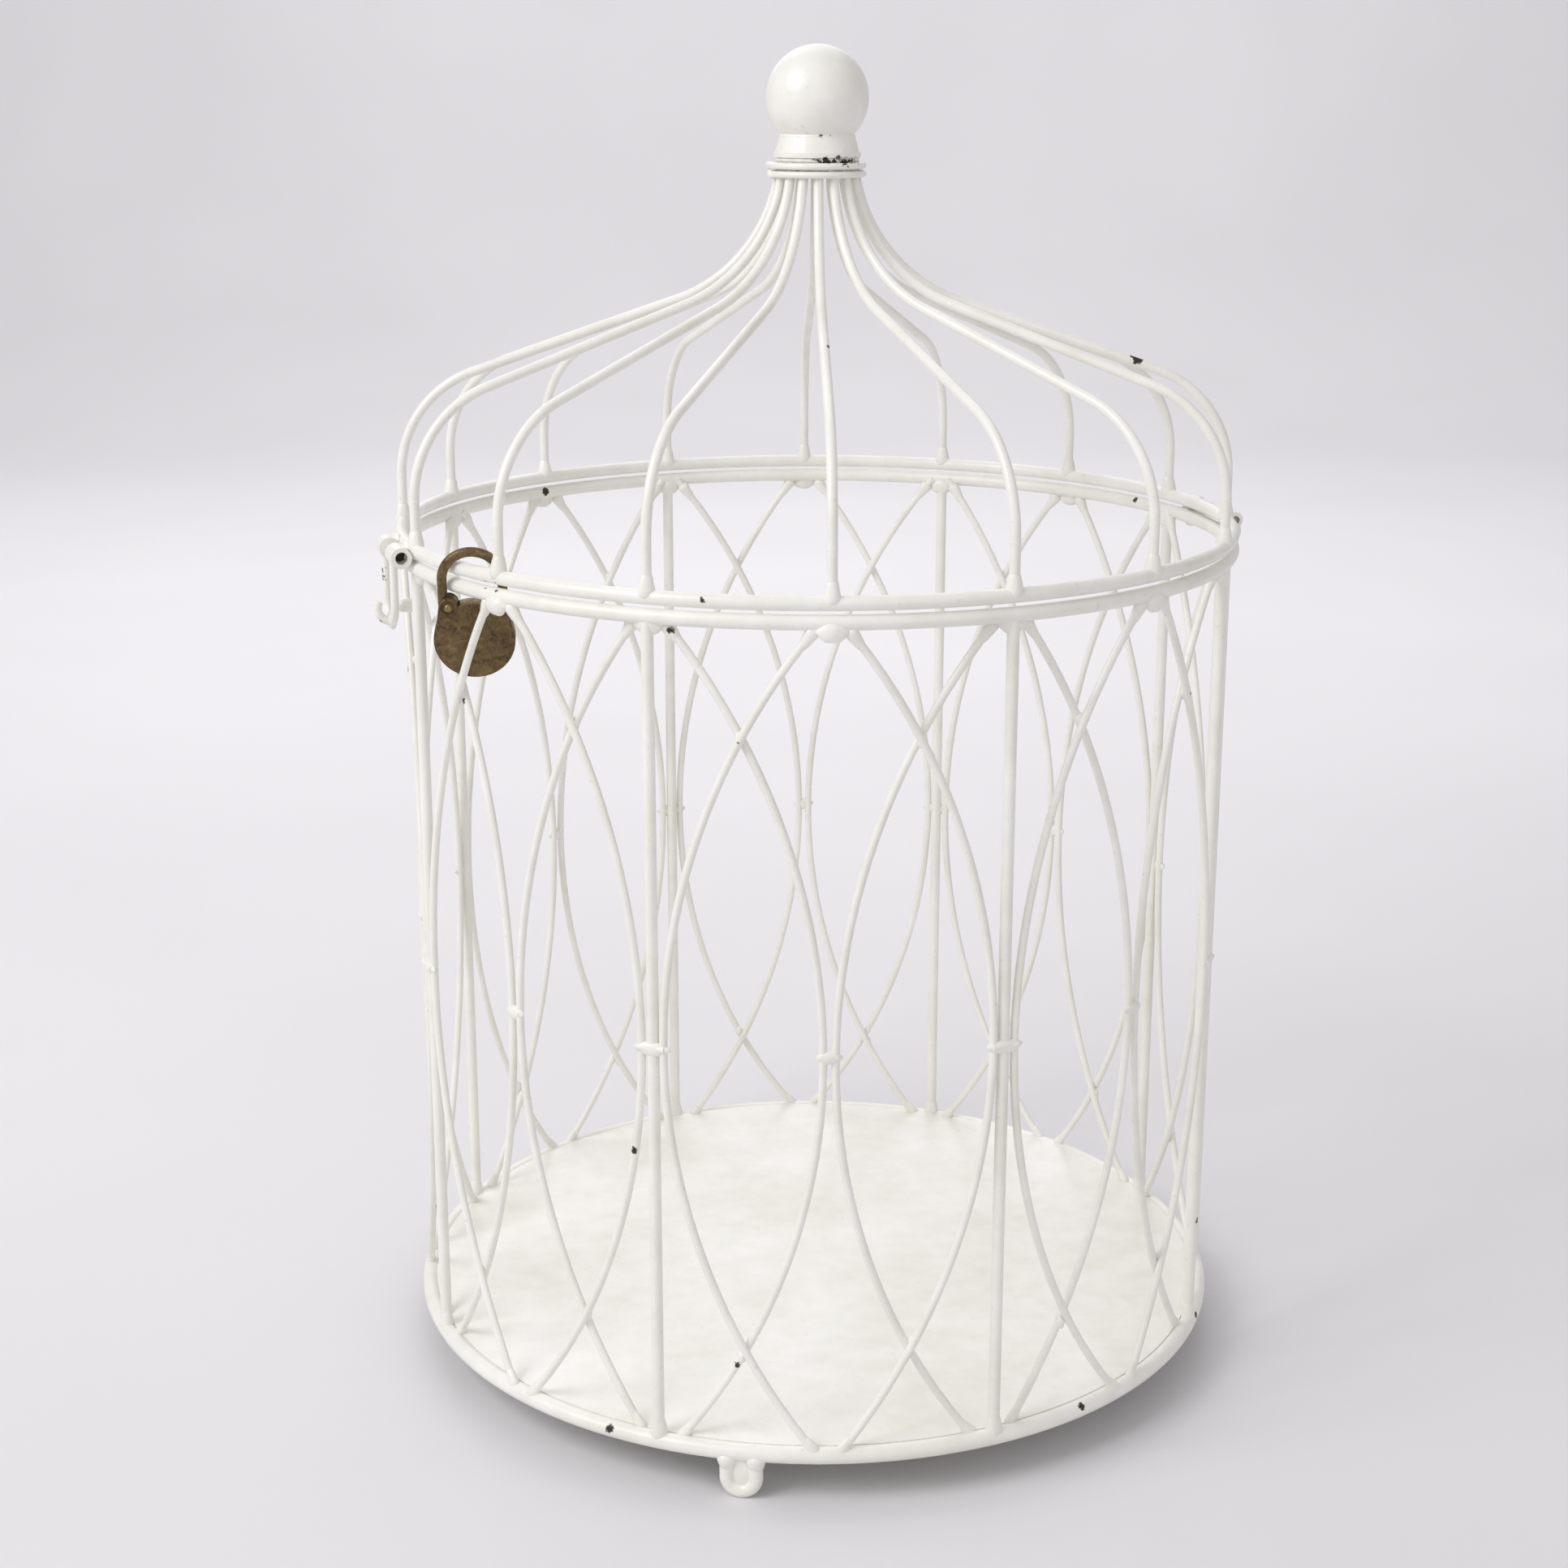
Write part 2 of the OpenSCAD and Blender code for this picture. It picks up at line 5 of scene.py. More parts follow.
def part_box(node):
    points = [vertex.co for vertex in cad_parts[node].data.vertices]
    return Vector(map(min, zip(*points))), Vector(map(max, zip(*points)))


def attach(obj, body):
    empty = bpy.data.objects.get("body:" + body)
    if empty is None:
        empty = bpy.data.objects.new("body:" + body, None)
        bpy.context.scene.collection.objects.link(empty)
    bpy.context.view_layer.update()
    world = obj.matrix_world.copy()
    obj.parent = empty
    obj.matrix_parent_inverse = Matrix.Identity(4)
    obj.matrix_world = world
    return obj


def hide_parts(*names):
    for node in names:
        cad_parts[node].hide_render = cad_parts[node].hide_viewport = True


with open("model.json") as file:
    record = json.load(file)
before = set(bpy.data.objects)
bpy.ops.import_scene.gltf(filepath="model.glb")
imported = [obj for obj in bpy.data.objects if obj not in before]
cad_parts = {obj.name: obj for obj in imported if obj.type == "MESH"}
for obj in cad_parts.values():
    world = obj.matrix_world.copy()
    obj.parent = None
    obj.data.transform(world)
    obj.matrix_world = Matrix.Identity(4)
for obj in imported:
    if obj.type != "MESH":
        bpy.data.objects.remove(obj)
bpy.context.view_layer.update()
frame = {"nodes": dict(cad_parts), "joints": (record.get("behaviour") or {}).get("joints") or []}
nodes = frame["nodes"]
print("frame loaded:", len(nodes), "nodes")

mm = 0.001

# places on the cage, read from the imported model
lowRing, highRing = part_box("body_ring")
bodyRing = {"z": (lowRing.z + highRing.z) / 2, "wire": highRing.z - lowRing.z}
cageRadius = highRing.x - bodyRing["wire"] / 2
lowRing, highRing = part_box("lid_ring")
lidRing = {"z": (lowRing.z + highRing.z) / 2, "wire": highRing.z - lowRing.z}
lowRing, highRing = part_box("base_ring")
baseRing = {"z": (lowRing.z + highRing.z) / 2, "wire": highRing.z - lowRing.z}
waistZ = (baseRing["z"] + bodyRing["z"]) / 2
firstLoop = -11.25      # degrees round the cage, from -Y towards +X
loopStep = 22.5
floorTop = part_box("floor_plate")[1].z


def loopAngle(i):       # i from 1 to 16
    return firstLoop + (i - 1) * loopStep


def outward(angle, radius, z):
    a = math.radians(angle)
    return Vector((radius * math.sin(a), -radius * math.cos(a), z))


# a turned frame on the ring: X along the ring, -Y outwards, Z up
def ringMatrix(angle, radius, z):
    return Matrix.Translation(outward(angle, radius, z)) @ Matrix.Rotation(math.radians(angle), 4, "Z")


# the lattice arcs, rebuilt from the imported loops: where a loop's half is at a height
lattice = {"wire": 2.3 * mm, "layer": 1.1 * mm, "apexGap": 3.0 * mm, "heelGap": (5.4 * mm, 2.8 * mm), "waistGap": (1.7 * mm, 3.3 * mm)}


def arcShift(i, z):     # sideways place in the plane between two loop angles, from its middle
    odd = i % 2
    r = cageRadius + (lattice["layer"] if odd else -lattice["layer"])
    half = r * math.sin(math.radians(loopStep / 2))
    p = ((lattice["apexGap"] - half, bodyRing["z"]), (half - lattice["waistGap"][odd], waistZ), (lattice["heelGap"][odd] - half, baseRing["z"]))
    d = 2 * (p[0][0] * (p[1][1] - p[2][1]) + p[1][0] * (p[2][1] - p[0][1]) + p[2][0] * (p[0][1] - p[1][1]))
    q = [x * x + y * y for x, y in p]
    cx = (q[0] * (p[1][1] - p[2][1]) + q[1] * (p[2][1] - p[0][1]) + q[2] * (p[0][1] - p[1][1])) / d
    cy = (q[0] * (p[2][0] - p[1][0]) + q[1] * (p[0][0] - p[2][0]) + q[2] * (p[1][0] - p[0][0])) / d
    reach = math.hypot(p[0][0] - cx, p[0][1] - cy)
    return cx + math.sqrt(max(0, reach ** 2 - (z - cy) ** 2)), r


# a frame on loop i's right (side 1) or left (side -1) arc at height z
def arcMatrix(i, side, z):
    shift, r = arcShift(i, z)
    flat = r * math.cos(math.radians(loopStep / 2))
    turned = Matrix.Rotation(math.radians(loopAngle(i) + side * loopStep / 2), 4, "Z")
    return turned @ Matrix.Translation((side * shift, -flat, z))


# materials
def linearColour(hexValue, alpha=1.0):
    parts = [int(hexValue[i:i + 2], 16) / 255 for i in (1, 3, 5)]
    return tuple(c / 12.92 if c <= 0.04045 else ((c + 0.055) / 1.055) ** 2.4 for c in parts) + (alpha,)


# adds one node, sets its properties and unlinked inputs, and links the rest
def addNode(tree, kind, settings=None, links=None):
    node = tree.nodes.new(kind)
    for name, value in (settings or {}).items():
        if isinstance(name, str) and hasattr(node, name):
            setattr(node, name, value)
        else:
            node.inputs[name].default_value = value
    for name, socket in (links or {}).items():
        tree.links.new(socket, node.inputs[name])
    return node


def newMaterial(name):
    material = bpy.data.materials.new(name)
    material.use_nodes = True
    tree = material.node_tree
    tree.nodes.clear()
    shader = tree.nodes.new("ShaderNodeBsdfPrincipled")
    output = tree.nodes.new("ShaderNodeOutputMaterial")
    tree.links.new(shader.outputs[0], output.inputs[0])
    place = tree.nodes.new("ShaderNodeTexCoord").outputs["Object"]
    return material, tree, shader, place


def rampNode(tree, factor, stops):
    ramp = addNode(tree, "ShaderNodeValToRGB", {}, {"Fac": factor})
    band = ramp.color_ramp
    while len(band.elements) < len(stops):
        band.elements.new(0.5)
    for element, (at, colour) in zip(band.elements, stops):
        element.position = at
        element.color = linearColour(colour) if isinstance(colour, str) else (colour, colour, colour, 1)
    return ramp.outputs["Color"]


def mathNode(tree, operation, a, b=None, c=None, clamp=False):
    settings, links = {"operation": operation, "use_clamp": clamp}, {}
    for i, value in enumerate((a, b, c)):
        if value is None:
            continue
        if isinstance(value, (int, float)):
            settings[i] = value
        else:
            links[i] = value
    return addNode(tree, "ShaderNodeMath", settings, links).outputs[0]


def mixColour(tree, factor, a, b):
    settings, links = {"data_type": "RGBA"}, {}
    for i, value in ((0, factor), (6, a), (7, b)):
        if isinstance(value, (str,)):
            settings[i] = linearColour(value)
        elif isinstance(value, (int, float)):
            settings[i] = value
        else:
            links[i] = value
    return addNode(tree, "ShaderNodeMix", settings, links).outputs[2]


# where the enamel has chipped down to dark steel: angle, radius and height in mm, size in mm
chips = [
    (78.75, 96.0, 308.0, 2.0), (-10.0, 65.6, 318.6, 0.9), (-22.5, 126.0, 221.6, 0.8), (45.0, 125.6, 221.6, 0.8),
    (-36.4, 126.4, 103.0, 0.9), (-23.2, 123.0, 40.0, 0.8), (-40.5, 127.3, 15.0, 1.1), (25.0, 126.8, 15.8, 1.0),
    (57.5, 127.0, 15.4, 0.9), (56.2, 126.7, 49.0, 0.8), (-145.5, 123.0, 254.6, 1.3), (-30.9, 124.0, 250.5, 0.8),
    (108.5, 123.2, 255.0, 0.8), (-66.9, 122.8, 220.0, 0.6), (-89.5, 125.0, 219.0, 0.6), (-56.0, 127.2, 256.6, 1.1),
    (-58.4, 127.2, 256.7, 1.0), (-26.5, 126.9, 259.6, 0.6), (-88.8, 130.7, 250.0, 0.9), (-88.8, 130.7, 247.6, 0.8),
    (-86.1, 132.8, 236.4, 0.9), (-88.9, 131.6, 258.2, 0.9), (-88.4, 131.9, 256.0, 0.7), (-79.1, 130.0, 257.6, 1.5), (160.0, 127.0, 60.0, 1.0),
    (205.0, 126.8, 240.0, 1.1), (150.0, 108.0, 299.0, 1.3), (-140.0, 127.2, 120.0, 1.0), (110.0, 126.4, 200.0, 0.9),
]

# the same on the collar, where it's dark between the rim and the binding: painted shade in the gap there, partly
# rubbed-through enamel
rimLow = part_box("crown_binding")[1].z / mm
collarRubAndShadeSpots = [(-17.0, 12.4, rimLow + 0.7, 0.4), (-9.0, 12.5, rimLow + 0.3, 0.8), (-3.0, 12.5, rimLow + 0.8, 1.1), (4.0, 12.6, rimLow + 0.5, 1.0),
              (10.0, 12.6, rimLow + 0.2, 1.4), (16.0, 12.7, rimLow + 0.9, 1.2), (22.0, 12.7, rimLow + 0.4, 1.5), (29.0, 12.7, rimLow + 0.8, 1.3),
              (35.0, 12.7, rimLow + 0.1, 1.5), (42.0, 12.6, rimLow + 0.6, 1.1), (50.0, 12.4, rimLow - 0.6, 0.9), (-30.0, 12.5, rimLow - 2.4, 0.5),
              (6.0, 10.6, rimLow + 7.6, 0.3), (-8.0, 10.6, rimLow + 7.7, 0.2), (150.0, 12.6, rimLow + 0.5, 1.4), (158.0, 12.4, rimLow - 0.4, 0.9)]

enamel = {
    "light": "#F6F5F0", "middle": "#F0EFE8", "warm": "#E8E6DC",   # ivory white, three shades
    "bareSteelAndShade": "#2A221C", "primerAndShadeEdge": "#8B8375",                        # chipped steel and the chip's edge; on the collar, also the painted shade in the gap and its edge
    "roughness": (0.30, 0.46), "blotch": 34.0, "peel": 1.3, "runs": 7.0,   # sizes in mm
}


# thick dipped enamel on wire: satin, softly uneven, with runs, an orange peel and a few chips
def enamelPaint(name, chipped=True, warmth=0.0, peel=0.05, withCollarRubAndShade=False):
    material, tree, shader, place = newMaterial(name)
    blotch = addNode(tree, "ShaderNodeTexNoise", {"Scale": 1000 / enamel["blotch"], "Detail": 3.0, "Roughness": 0.55},
                     {"Vector": place}).outputs["Fac"]
    fine = addNode(tree, "ShaderNodeTexNoise", {"Scale": 1000 / enamel["peel"], "Detail": 2.0}, {"Vector": place}).outputs["Fac"]
    runs = addNode(tree, "ShaderNodeTexNoise", {"Scale": 1000 / enamel["runs"], "Detail": 2.0, "Roughness": 0.6},
                   {"Vector": place}).outputs["Fac"]
    tone = mathNode(tree, "ADD", blotch, mathNode(tree, "MULTIPLY_ADD", runs, 0.5, -0.25 + warmth))
    colour = rampNode(tree, tone, [(0.28, enamel["light"]), (0.52, enamel["middle"]), (0.80, enamel["warm"])])
    # dust that has settled in the coat, seen as faint grey specks
    dust = addNode(tree, "ShaderNodeTexNoise", {"Scale": 620.0, "Detail": 1.0}, {"Vector": place}).outputs["Fac"]
    speck = rampNode(tree, dust, [(0.70, 0.0), (0.78, 1.0)])
    colour = mixColour(tree, mathNode(tree, "MULTIPLY", speck, 0.22), colour, "#B9B5A8")
    height = mathNode(tree, "ADD", mathNode(tree, "MULTIPLY", fine, 0.35), mathNode(tree, "MULTIPLY", runs, 1.6))
    roughness = addNode(tree, "ShaderNodeMapRange", {1: 0.3, 2: 0.7, 3: enamel["roughness"][0], 4: enamel["roughness"][1]},
                        {0: blotch}).outputs[0]
    if chipped:
        # a ragged edge: the place is shaken by a fine noise before its distance is taken
        shake = addNode(tree, "ShaderNodeTexNoise", {"Scale": 900.0, "Detail": 2.0}, {"Vector": place}).outputs["Color"]
        shift = addNode(tree, "ShaderNodeVectorMath", {"operation": "MULTIPLY_ADD", 1: (0.0022,) * 3, 2: (-0.0011,) * 3}, {0: shake}).outputs[0]
        ragged = addNode(tree, "ShaderNodeVectorMath", {"operation": "ADD"}, {0: place, 1: shift}).outputs[0]
        nearest = None
        for angle, radius, z, size in chips:
            at = outward(angle, radius * mm, z * mm)
            gap = addNode(tree, "ShaderNodeVectorMath", {"operation": "DISTANCE", 1: tuple(at)}, {0: ragged}).outputs["Value"]
            gap = mathNode(tree, "SUBTRACT", gap, size * mm)
            nearest = gap if nearest is None else mathNode(tree, "MINIMUM", nearest, gap)
        if withCollarRubAndShade:
            # dark patches where the turns of wire meet the rim: painted shade in the gap there, partly enamel rubbed
            # through; a noise makes their edges uneven
            rub = addNode(tree, "ShaderNodeTexNoise", {"Scale": 380.0, "Detail": 5.0, "Roughness": 0.72}, {"Vector": place}).outputs["Fac"]
            for angle, radius, z, size in collarRubAndShadeSpots:
                gap = addNode(tree, "ShaderNodeVectorMath", {"operation": "DISTANCE", 1: tuple(outward(angle, radius * mm, z * mm))}, {0: place}).outputs["Value"]
                reach = mathNode(tree, "MULTIPLY_ADD", rub, -0.009, 0.0049 - size * mm)
                nearest = mathNode(tree, "MINIMUM", nearest, mathNode(tree, "ADD", gap, reach))
        # the chips, and on the collar also the painted shade in the gap, get a greyish rim and a dark middle
        edge = mathNode(tree, "LESS_THAN", nearest, 0.00028)
        bareSteelAndShade = mathNode(tree, "LESS_THAN", nearest, 0.0)
        colour = mixColour(tree, edge, colour, enamel["primerAndShadeEdge"])
        colour = mixColour(tree, bareSteelAndShade, colour, enamel["bareSteelAndShade"])
        height = mathNode(tree, "SUBTRACT", height, mathNode(tree, "MULTIPLY", bareSteelAndShade, 2.2))
        roughness = mathNode(tree, "ADD", roughness, mathNode(tree, "MULTIPLY", bareSteelAndShade, 0.35))
    bump = addNode(tree, "ShaderNodeBump", {"Strength": 0.35, "Distance": 0.0002 + peel * 0.002}, {"Height": height}).outputs[0]
    tree.links.new(colour, shader.inputs["Base Color"])
    tree.links.new(roughness, shader.inputs["Roughness"])
    tree.links.new(bump, shader.inputs["Normal"])
    shader.inputs["IOR"].default_value = 1.52
    shader.inputs["Coat Weight"].default_value = 0.18
    shader.inputs["Coat Roughness"].default_value = 0.22
    return material


bronze = {"dark": "#352B1E", "brown": "#6B573A", "olive": "#7C6A45", "rub": "#B79D6C", "scratch": 0.9, "mottle": 2.2}


# antique bronze plating on pressed steel: brown and olive patina, rubbed brighter on high spots
def antiqueBronze(name, bright=0.0):
    material, tree, shader, place = newMaterial(name)
    mottle = addNode(tree, "ShaderNodeTexNoise", {"Scale": 1000 / bronze["mottle"], "Detail": 6.0, "Roughness": 0.68, "Distortion": 0.6},
                     {"Vector": place}).outputs["Fac"]
    patch = addNode(tree, "ShaderNodeTexNoise", {"Scale": 120.0, "Detail": 3.0, "Roughness": 0.5}, {"Vector": place}).outputs["Fac"]
    tone = mathNode(tree, "ADD", mottle, mathNode(tree, "MULTIPLY_ADD", patch, 0.6, -0.3 + bright))
    colour = rampNode(tree, tone, [(0.24, bronze["dark"]), (0.46, bronze["brown"]), (0.62, bronze["olive"]), (0.86, bronze["rub"])])
    grit = addNode(tree, "ShaderNodeTexNoise", {"Scale": 1000 / bronze["scratch"], "Detail": 4.0, "Roughness": 0.75}, {"Vector": place}).outputs["Fac"]
    pits = rampNode(tree, grit, [(0.30, 0.0), (0.42, 1.0)])
    colour = mixColour(tree, mathNode(tree, "SUBTRACT", 1.0, pits), colour, bronze["dark"])
    roughness = addNode(tree, "ShaderNodeMapRange", {1: 0.25, 2: 0.75, 3: 0.58, 4: 0.36}, {0: tone}).outputs[0]
    height = mathNode(tree, "ADD", mathNode(tree, "MULTIPLY", grit, 0.6), mottle)
    bump = addNode(tree, "ShaderNodeBump", {"Strength": 0.4, "Distance": 0.00025}, {"Height": height}).outputs[0]
    tree.links.new(colour, shader.inputs["Base Color"])
    tree.links.new(roughness, shader.inputs["Roughness"])
    tree.links.new(bump, shader.inputs["Normal"])
    shader.inputs["Metallic"].default_value = 0.6
    return material


# drawn steel wire: grey, faint lines along its length
def drawnSteel(name):
    material, tree, shader, place = newMaterial(name)
    lines = addNode(tree, "ShaderNodeTexNoise", {"Scale": 900.0, "Detail": 3.0}, {"Vector": place}).outputs["Fac"]
    colour = rampNode(tree, lines, [(0.3, "#6E6C68"), (0.7, "#A3A09A")])
    bump = addNode(tree, "ShaderNodeBump", {"Strength": 0.3, "Distance": 0.0001}, {"Height": lines}).outputs[0]
    tree.links.new(colour, shader.inputs["Base Color"])
    tree.links.new(bump, shader.inputs["Normal"])
    shader.inputs["Metallic"].default_value = 1.0
    shader.inputs["Roughness"].default_value = 0.38
    return material


wireEnamel = enamelPaint("ivory enamel on wire")
# the collar's enamel carries painted shade in the gap between the rim and the binding, partly rubbed wear
collarEnamelRubbedAndShaded = enamelPaint("rubbed and shade-painted ivory enamel on the collar", withCollarRubAndShade=True)
plateEnamel = enamelPaint("ivory enamel on sheet", chipped=False, warmth=0.02, peel=0.04)
ballEnamel = enamelPaint("ivory enamel on the ball", chipped=False, warmth=0.04, peel=0.02)
bronzePlate = antiqueBronze("antique bronze plate")
# the rivet's bronze is lighter all over: partly rubbed wear, partly a painted highlight on its dome
rivetBronzeWithHighlight = antiqueBronze("rubbed bronze rivet with painted highlight", bright=0.28)
pinSteel = drawnSteel("drawn steel")
print("materials made")

for name, node in nodes.items():
    paint = wireEnamel
    if name in ("hinge_pin", "finial_screw"):
        paint = pinSteel
    if name == "padlock_rivet":
        paint = rivetBronzeWithHighlight
    if name.startswith("padlock") and name != "padlock_rivet":
        paint = bronzePlate
    if name == "floor_plate":
        paint = plateEnamel
    if name == "finial_ball":
        paint = ballEnamel
    if name in ("crown_cap", "crown_binding"):
        paint = collarEnamelRubbedAndShaded
    node.data.materials.clear()
    node.data.materials.append(paint)


# modelling helpers
def clearSelection():
    if bpy.context.object and bpy.context.object.mode != "OBJECT":
        bpy.ops.object.mode_set(mode="OBJECT")
    bpy.ops.object.select_all(action="DESELECT")


def takeNew(name):
    piece = bpy.context.active_object
    piece.name = name
    piece.data.name = name
    return piece


def useOnly(piece):
    clearSelection()
    piece.select_set(True)
    bpy.context.view_layer.objects.active = piece


# selects the points that pass the test and enters edit mode
def editPoints(piece, test):
    useOnly(piece)
    bpy.ops.object.mode_set(mode="EDIT")
    bpy.ops.mesh.select_mode(type="VERT")
    bpy.ops.mesh.select_all(action="DESELECT")
    bpy.ops.object.mode_set(mode="OBJECT")
    for point in piece.data.vertices:
        point.select = test(point.co)
    bpy.ops.object.mode_set(mode="EDIT")


def leaveEdit():
    bpy.ops.object.mode_set(mode="OBJECT")


def applyModifier(piece, kind, **settings):
    useOnly(piece)
    modifier = piece.modifiers.new(kind.lower(), kind)
    for name, value in settings.items():
        setattr(modifier, name, value)
    bpy.ops.object.modifier_apply(modifier=modifier.name)


def smoothAll(piece):
    useOnly(piece)
    bpy.ops.object.shade_smooth()


def placedCopies(pattern, places, name):
    made = []
    for place in places:
        copy = pattern.copy()
        copy.data = pattern.data.copy()
        copy.data.transform(place)
        bpy.context.scene.collection.objects.link(copy)
        made.append(copy)
    bpy.data.objects.remove(pattern)
    clearSelection()
    for copy in made:
        copy.select_set(True)
    bpy.context.view_layer.objects.active = made[0]
    if len(made) > 1:
        bpy.ops.object.join()
    return takeNew(name)


# uneven paint: one cloud pattern in the room's coordinates, so no two lumps are alike
clouds = bpy.data.textures.new("paint clouds", "CLOUDS")
clouds.noise_scale = 3.2 * mm
clouds.noise_depth = 1


def finishPaint(piece, body, paint=None, strength=0.5, level=1):
    if level:
        applyModifier(piece, "SUBSURF", levels=level, render_levels=level)
    applyModifier(piece, "DISPLACE", texture=clouds, texture_coords="GLOBAL", strength=strength * mm, mid_level=0.5)
    smoothAll(piece)
    piece.data.materials.clear()
    piece.data.materials.append(paint or wireEnamel)
    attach(piece, body)
    return piece


# a drop of paint round a wire that stands on a ring: a flared foot that thins upwards
def flaredDrop(name, footRadius, topRadius, height, squash=1.0, sides=12):
    clearSelection()
    bpy.ops.mesh.primitive_cone_add(vertices=sides, radius1=footRadius, radius2=topRadius, depth=height, location=(0, 0, height / 2))
    drop = takeNew(name)
    bpy.ops.object.transform_apply(location=True, rotation=True, scale=True)
    editPoints(drop, lambda co: True)
    bpy.ops.mesh.bisect(plane_co=(0, 0, height * 0.35), plane_no=(0, 0, 1))
    bpy.ops.mesh.select_all(action="DESELECT")
    leaveEdit()
    # the middle is drawn in, so the side is hollow like a fillet
    editPoints(drop, lambda co: abs(co.z - height * 0.35) < height * 0.02)
    waist = (footRadius * 0.50 + topRadius * 0.50) / (footRadius * 0.65 + topRadius * 0.35)
    bpy.ops.transform.resize(value=(waist, waist, 1), center_override=(0, 0, height * 0.35))
    leaveEdit()
    editPoints(drop, lambda co: co.z < height * 0.02)
    bpy.ops.mesh.extrude_region_move(TRANSFORM_OT_translate={"value": (0, 0, -footRadius * 0.45)})
    bpy.ops.transform.resize(value=(0.62, 0.62, 1))
    bpy.ops.mesh.select_all(action="SELECT")
    bpy.ops.transform.resize(value=(1, squash, 1), center_override=(0, 0, 0))
    bpy.ops.mesh.normals_make_consistent(inside=False)
    leaveEdit()
    return drop


# a soft lump of paint, longer than it is thick, with drawn-out ends
def paintLump(name, length, height, depth):
    clearSelection()
    bpy.ops.mesh.primitive_uv_sphere_add(segments=14, ring_count=8, radius=0.5, location=(0, 0, 0))
    lump = takeNew(name)
    editPoints(lump, lambda co: True)
    bpy.ops.transform.resize(value=(length, depth, height), center_override=(0, 0, 0))
    leaveEdit()
    editPoints(lump, lambda co: abs(co.x) > length * 0.38)
    bpy.ops.transform.resize(value=(1.12, 0.8, 0.7), center_override=(0, 0, 0))
    leaveEdit()
    editPoints(lump, lambda co: co.z < -height * 0.30)
    bpy.ops.transform.translate(value=(0, 0, -height * 0.10))
    leaveEdit()
    return lump


# welds of the lid
domeFoot = {"foot": 2.9 * mm, "top": 1.55 * mm, "height": 6.5 * mm, "sunk": 0.6 * mm}
drop = flaredDrop("dome foot drop", domeFoot["foot"], domeFoot["top"], domeFoot["height"])
lidWelds = placedCopies(drop, [ringMatrix(loopAngle(i), cageRadius, lidRing["z"] + domeFoot["sunk"]) for i in range(1, 17)], "lidWelds")
finishPaint(lidWelds, "lid", strength=0.45)
print("lid welds made")

# welds at the body ring: a pad of paint over the two ends and a sleeve down each of them
apex = {"length": 8.4 * mm, "height": 5.2 * mm, "depth": 4.4 * mm, "down": 2.2 * mm,
        "foot": 2.3 * mm, "top": 1.22 * mm, "sleeve": 6.5 * mm, "lean": 36.0}
lump = paintLump("apex lump", apex["length"], apex["height"], apex["depth"])
places = []
for i in range(1, 17):
    layer = 1.2 * mm if i % 2 else -0.6 * mm
    places.append(ringMatrix(loopAngle(i), cageRadius + layer, bodyRing["z"] - apex["down"]))
apexWelds = placedCopies(lump, places, "apexWelds")
finishPaint(apexWelds, "cage", strength=0.7)
drop = flaredDrop("apex sleeve", apex["foot"], apex["top"], apex["sleeve"], squash=0.85, sides=10)
places = []
for i in range(1, 17):
    for side in (-1, 1):
        leaning = Matrix.Rotation(math.pi - side * math.radians(apex["lean"]), 4, "Y")
        places.append(arcMatrix(i, side, bodyRing["z"] - 2.4 * mm) @ leaning)
apexSleeves = placedCopies(drop, places, "apexSleeves")
finishPaint(apexSleeves, "cage", strength=0.35)
print("body ring welds made")

# welds at the base ring
heel = {"foot": 2.3 * mm, "top": 1.25 * mm, "height": 5.5 * mm, "lean": 35.0}
places = []
for i in range(1, 17):
    for side in (-1, 1):
        leaning = Matrix.Rotation(side * math.radians(heel["lean"]), 4, "Y")
        places.append(arcMatrix(i, side, baseRing["z"] + baseRing["wire"] * 0.30) @ leaning)
drop = flaredDrop("heel drop", heel["foot"], heel["top"], heel["height"], squash=0.8, sides=10)
heelWelds = placedCopies(drop, places, "heelWelds")
finishPaint(heelWelds, "cage", strength=0.4)

postFoot = {"foot": 3.1 * mm, "top": 1.8 * mm, "height": 7.0 * mm}
drop = flaredDrop("post drop", postFoot["foot"], postFoot["top"], postFoot["height"], squash=0.85)
postWelds = placedCopies(drop, [ringMatrix(loopAngle(2 * k), cageRadius, baseRing["z"] + baseRing["wire"] * 0.25) for k in range(1, 9)], "postWelds")
finishPaint(postWelds, "cage", strength=0.4)
print("base ring welds made")

# ties at mid height
tie = {"height": 3.8 * mm, "depth": 2.9 * mm, "plain": 7.0 * mm, "post": 10.6 * mm}
places, widePlaces = [], []
for i in range(1, 17):
    if i % 2:
        places.append(ringMatrix(loopAngle(i), cageRadius - 1.1 * mm, waistZ))
    else:
        widePlaces.append(ringMatrix(loopAngle(i), cageRadius + 0.9 * mm, waistZ))
narrow = placedCopies(paintLump("narrow tie", tie["plain"], tie["height"], tie["depth"]), places, "narrowTies")
wide = placedCopies(paintLump("wide tie", tie["post"], tie["height"], tie["depth"]), widePlaces, "wideTies")
finishPaint(narrow, "cage", strength=0.4)
finishPaint(wide, "cage", strength=0.4)
print("ties made")

# crossings of the two layers
crossing = {"length": 2.6 * mm, "height": 3.4 * mm, "depth": 2.6 * mm}
places = []
for i in range(1, 17):
    middle = 0.0
    for low, high in ((waistZ, bodyRing["z"]), (baseRing["z"], waistZ)):
        for step in range(30):          # halving, down to where the arc is in the middle of its plane
            z = (low + high) / 2
            inside = arcShift(i, z)[0] > 0
            if (inside and high == bodyRing["z"]) or (inside and low >= waistZ - 1e-6):
                low = z
            elif not inside and low >= waistZ - 1e-6:
                high = z
            elif inside:
                high = z
            else:
                low = z
        places.append(ringMatrix(loopAngle(i) + loopStep / 2, (cageRadius - 0.1 * mm) * math.cos(math.radians(loopStep / 2)), z))
crossWelds = placedCopies(paintLump("crossing lump", crossing["length"], crossing["height"], crossing["depth"]), places, "crossWelds")
finishPaint(crossWelds, "cage", strength=0.4)
print("crossings made")

